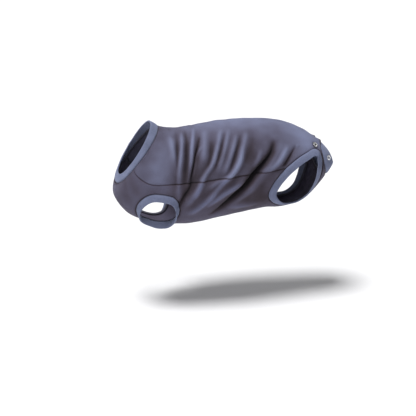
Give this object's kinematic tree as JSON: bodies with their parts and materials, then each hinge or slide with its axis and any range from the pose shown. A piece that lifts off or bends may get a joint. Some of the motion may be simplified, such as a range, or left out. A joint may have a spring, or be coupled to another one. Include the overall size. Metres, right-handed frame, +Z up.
{
  "type": "dog recovery suit",
  "caption": "Stretch jersey recovery suit for a small dog, in its worn form, with rib bindings and ring snaps at the tail",
  "frame": {"origin": "inner face of the back panel on the back line over the withers, where the suit sits", "axes": "+X from the collar to the tail, +Y to the wearer's right side, +Z up"},
  "size_m": [0.391, 0.1332, 0.1837],
  "materials": {
    "jersey": "matt slate blue stretch jersey",
    "rib": "matt lighter blue ribbed binding",
    "snap_metal": "bright nickel-plated steel"
  },
  "bodies": {
    "root": {"back_panel": "jersey", "belly_panel": "jersey", "neck_binding": "rib", "armhole_binding_left": "rib", "armhole_binding_right": "rib", "leg_binding_left": "rib", "leg_binding_right": "rib", "tail_binding": "rib", "snap_ring_upper_left": "snap_metal", "snap_ring_upper_right": "snap_metal", "snap_ring_lower_left": "snap_metal", "snap_ring_lower_right": "snap_metal", "snap_socket_upper_left": "snap_metal", "snap_socket_upper_right": "snap_metal", "snap_socket_lower_left": "snap_metal", "snap_socket_lower_right": "snap_metal"}
  },
  "joints": []
}
